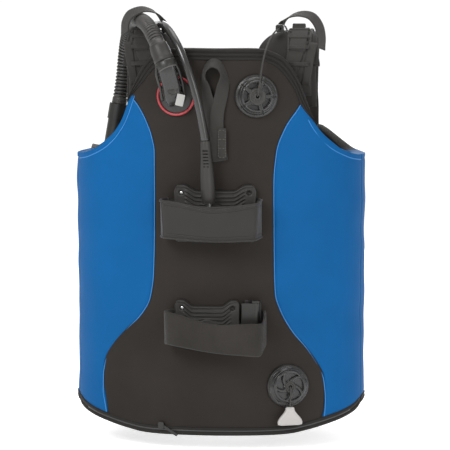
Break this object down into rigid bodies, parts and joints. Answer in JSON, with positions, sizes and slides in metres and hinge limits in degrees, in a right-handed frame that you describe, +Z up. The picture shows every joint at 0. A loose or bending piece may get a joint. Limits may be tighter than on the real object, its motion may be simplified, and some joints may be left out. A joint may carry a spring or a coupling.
{
  "type": "buoyancy compensator vest",
  "caption": "Jacket-style diving vest with swinging front lobes, tank bands, dump valves, hoses and an inflator.",
  "frame": {"origin": "on the axis of the wearer's torso, at the height of the hem", "axes": "+Z up, +Y the way the wearer faces, +X the wearer's right"},
  "size_m": [0.423, 0.3077, 0.6199],
  "materials": {
    "black_fabric": "smooth coated nylon",
    "blue_fabric": "coated nylon",
    "bladder": "coated nylon",
    "foam_pad": "padded mesh",
    "webbing": "woven webbing",
    "rubber": "moulded",
    "black_plastic": "moulded",
    "red_trim": "moulded",
    "pale_plastic": "moulded",
    "grey_plastic": "moulded",
    "silicone": "soft",
    "steel": "stainless",
    "cord": "braided"
  },
  "bodies": {
    "vest": {"back_air_cell": "bladder", "centre_panel": "black_fabric", "left_back_panel": "blue_fabric", "right_back_panel": "blue_fabric", "back_plate": "black_plastic", "back_pad": "foam_pad", "neck_binding": "black_fabric", "hem_band": "black_fabric", "upper_tank_pad": "rubber", "lower_tank_pad": "rubber", "upper_tank_band": "webbing", "upper_band_sleeve": "black_fabric", "lower_tank_band": "webbing", "cam_frame": "black_plastic", "valve_strap": "webbing", "shoulder_valve_base": "black_plastic", "shoulder_valve_cap": "black_plastic", "shoulder_valve_spring": "steel", "lower_valve_base": "black_plastic", "lower_valve_cap": "black_plastic", "lower_valve_spring": "steel", "shoulder_pull_cord": "cord", "elbow_flange": "black_plastic", "elbow_ring": "red_trim", "elbow_body": "black_plastic", "upper_hose_cuff": "rubber", "corrugated_hose": "rubber", "lp_hose": "rubber", "lp_hose_boot": "rubber", "lp_fitting": "steel", "left_shoulder_pad": "black_fabric", "right_shoulder_pad": "black_fabric", "left_hose_loop": "webbing", "right_hose_loop": "webbing", "strap_keepers": "black_plastic", "shoulder_webbing": "webbing"},
    "left_lobe": {"left_lobe_cell": "bladder", "left_lobe_panel": "blue_fabric", "left_pocket": "black_fabric", "left_lobe_webbing": "webbing", "waist_buckle_socket": "black_plastic", "inflator_body": "black_plastic", "mouthpiece": "silicone"},
    "right_lobe": {"right_lobe_cell": "bladder", "right_lobe_panel": "blue_fabric", "right_pocket": "black_fabric", "right_lobe_webbing": "webbing", "waist_buckle_plug": "black_plastic"},
    "left_ring": {"left_d_ring": "steel"},
    "right_ring": {"right_d_ring": "steel"},
    "lever": {"cam_lever": "black_plastic"},
    "shoulder_poppet": {"shoulder_valve_poppet": "black_plastic"},
    "lower_poppet": {"lower_valve_poppet": "black_plastic"},
    "shoulder_knob": {"shoulder_pull_knob": "black_plastic"},
    "lower_knob": {"lower_pull_knob": "pale_plastic", "lower_pull_cord": "cord"},
    "zip_slider": {"hem_zip_slider": "steel"},
    "inflate_key": {"inflate_button": "grey_plastic"},
    "deflate_key": {"deflate_button": "grey_plastic"},
    "collar": {"qd_collar": "steel"}
  },
  "joints": [
    {"name": "left_lobe_swing", "type": "hinge", "parent": "vest", "child": "left_lobe", "pos_m": [-0.2115, 0, 0.2], "axis": [0, 0, 1], "range_deg": [0, 40], "deforming": ["corrugated_hose", "lp_hose"]},
    {"name": "right_lobe_swing", "type": "hinge", "parent": "vest", "child": "right_lobe", "pos_m": [0.2115, 0, 0.2], "axis": [0, 0, -1], "range_deg": [0, 40]},
    {"name": "shoulder_valve_open", "type": "slide", "parent": "vest", "child": "shoulder_poppet", "axis": [0.1852, -0.9827, 0], "range_m": [0, 0.004], "stiffness_N_per_m": 200, "springref_m": -0.005, "deforming": ["shoulder_valve_spring"]},
    {"name": "lower_valve_open", "type": "slide", "parent": "vest", "child": "lower_poppet", "axis": [0.3304, -0.9438, 0], "range_m": [0, 0.004], "stiffness_N_per_m": 200, "springref_m": -0.005, "deforming": ["lower_valve_spring"]},
    {"name": "shoulder_pull", "type": "slide", "parent": "vest", "child": "shoulder_knob", "axis": [0, 0, -1], "range_m": [0, 0.004]},
    {"name": "lower_pull", "type": "slide", "parent": "vest", "child": "lower_knob", "axis": [0, 0, -1], "range_m": [0, 0.004]},
    {"name": "cam_lever_turn", "type": "hinge", "parent": "vest", "child": "lever", "pos_m": [0.059, -0.138, 0.176], "axis": [0, 0, 1], "range_deg": [0, 80]},
    {"name": "hem_zip_slide", "type": "hinge", "parent": "vest", "child": "zip_slider", "pos_m": [0, 0.18821, 0.0125], "axis": [0, 0, 1], "range_deg": [-8, 22]},
    {"name": "left_d_ring_swing", "type": "hinge", "parent": "left_lobe", "child": "left_ring", "pos_m": [-0.07697, 0.11952, 0.372], "axis": [0.9701, 0.2426, 0], "range_deg": [0, 85]},
    {"name": "right_d_ring_swing", "type": "hinge", "parent": "right_lobe", "child": "right_ring", "pos_m": [0.07697, 0.11952, 0.372], "axis": [0.9701, -0.2426, 0], "range_deg": [0, 85]},
    {"name": "inflate_press", "type": "slide", "parent": "left_lobe", "child": "inflate_key", "axis": [0, -1, 0], "range_m": [0, 0.003], "stiffness_N_per_m": 300, "springref_m": -0.003},
    {"name": "deflate_press", "type": "slide", "parent": "left_lobe", "child": "deflate_key", "axis": [0.169, 0, 0.9856], "range_m": [0, 0.003], "stiffness_N_per_m": 300, "springref_m": -0.003},
    {"name": "qd_collar_slide", "type": "slide", "parent": "left_lobe", "child": "collar", "axis": [0.169, 0, 0.9856], "range_m": [0, 0.004], "stiffness_N_per_m": 400, "springref_m": -0.003}
  ],
  "couplings": [
    {"joint": "shoulder_valve_open", "follows": "shoulder_pull", "ratio": 1},
    {"joint": "lower_valve_open", "follows": "lower_pull", "ratio": 1}
  ]
}
